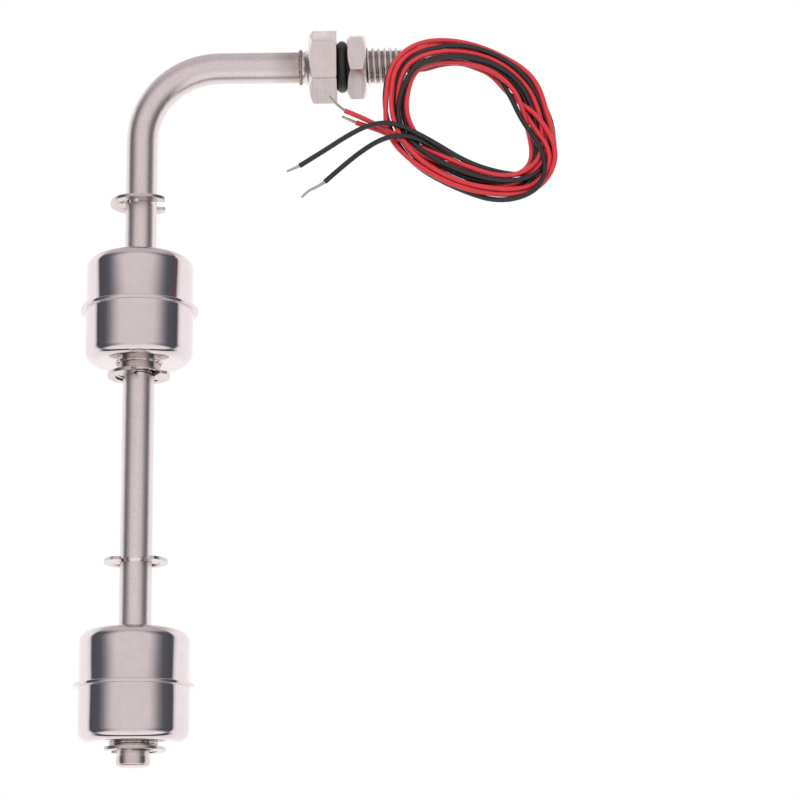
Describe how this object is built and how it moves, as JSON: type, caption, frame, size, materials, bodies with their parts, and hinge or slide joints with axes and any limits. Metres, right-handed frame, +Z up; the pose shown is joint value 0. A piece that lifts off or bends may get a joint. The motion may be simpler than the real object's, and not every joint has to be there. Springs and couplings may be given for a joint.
{
  "type": "float level switch",
  "caption": "Side-mounted float level switch: bent steel stem with hollow floats that lift between clips, a hexagon fitting with threaded stub, seal and lock nut, and a coil of loose wires.",
  "frame": {"origin": "middle of the hexagon's seal face, on the thread's axis", "axes": "+X out of the tank along the thread, +Z up along the stem, -Y to the side it is looked at from"},
  "size_m": [0.1218, 0.0298, 0.1905],
  "materials": {
    "stem_steel": "fine drawn finish",
    "turned_steel": "turned and milled, bright",
    "clip_steel": "stamped spring steel",
    "float_steel": "mirror polished",
    "magnet_ferrite": "sintered, matt",
    "seal_rubber": "moulded, slightly shiny",
    "potting_resin": "cast, smooth",
    "reed_glass": "clear",
    "shrink_plastic": "shrunk, satin",
    "tinned_metal": "tinned",
    "red_wire_insulation": "semi-gloss",
    "black_wire_insulation": "semi-gloss"
  },
  "bodies": {
    "switch": {"stem_tube": "stem_steel", "end_plug": "stem_steel", "hex_fitting": "turned_steel", "seal_ring": "seal_rubber", "potting_plug": "potting_resin", "wire_coil": "red_wire_insulation", "upper_float_top_clip": "clip_steel", "upper_float_bottom_clip": "clip_steel", "lower_float_top_clip": "clip_steel", "lower_float_bottom_clip": "clip_steel", "upper_reed_glass": "reed_glass", "upper_reed_blades": "tinned_metal", "upper_reed_shrink_sleeve": "shrink_plastic", "lower_reed_glass": "reed_glass", "lower_reed_blades": "tinned_metal", "lower_reed_shrink_sleeve": "shrink_plastic", "red_1_wire_lead": "red_wire_insulation", "black_1_wire_lead": "black_wire_insulation", "red_2_wire_lead": "red_wire_insulation", "black_2_wire_lead": "black_wire_insulation", "red_1_wire_tail": "red_wire_insulation", "black_1_wire_tail": "black_wire_insulation", "red_2_wire_tail": "red_wire_insulation", "black_2_wire_tail": "black_wire_insulation", "red_1_inner_wire": "red_wire_insulation", "black_1_inner_wire": "black_wire_insulation", "red_2_inner_wire": "red_wire_insulation", "black_2_inner_wire": "black_wire_insulation", "red_1_wire_tip": "tinned_metal", "black_1_wire_tip": "tinned_metal", "red_2_wire_tip": "tinned_metal", "black_2_wire_tip": "tinned_metal"},
    "lock_nut": {"lock_nut": "turned_steel"},
    "upper_float": {"upper_float_bottom_half": "float_steel", "upper_float_top_half": "float_steel", "upper_float_sleeve": "float_steel", "upper_float_magnet": "magnet_ferrite"},
    "lower_float": {"lower_float_bottom_half": "float_steel", "lower_float_top_half": "float_steel", "lower_float_sleeve": "float_steel", "lower_float_magnet": "magnet_ferrite"}
  },
  "joints": [
    {"name": "upper_float_slide", "type": "slide", "parent": "switch", "child": "upper_float", "axis": [0, 0, 1], "range_m": [0, 0.0142]},
    {"name": "lower_float_slide", "type": "slide", "parent": "switch", "child": "lower_float", "axis": [0, 0, 1], "range_m": [0, 0.0165]},
    {"name": "lock_nut_turn", "type": "hinge", "parent": "switch", "child": "lock_nut", "pos_m": [0.0052, 0, 0], "axis": [1, 0, 0], "continuous": true}
  ]
}
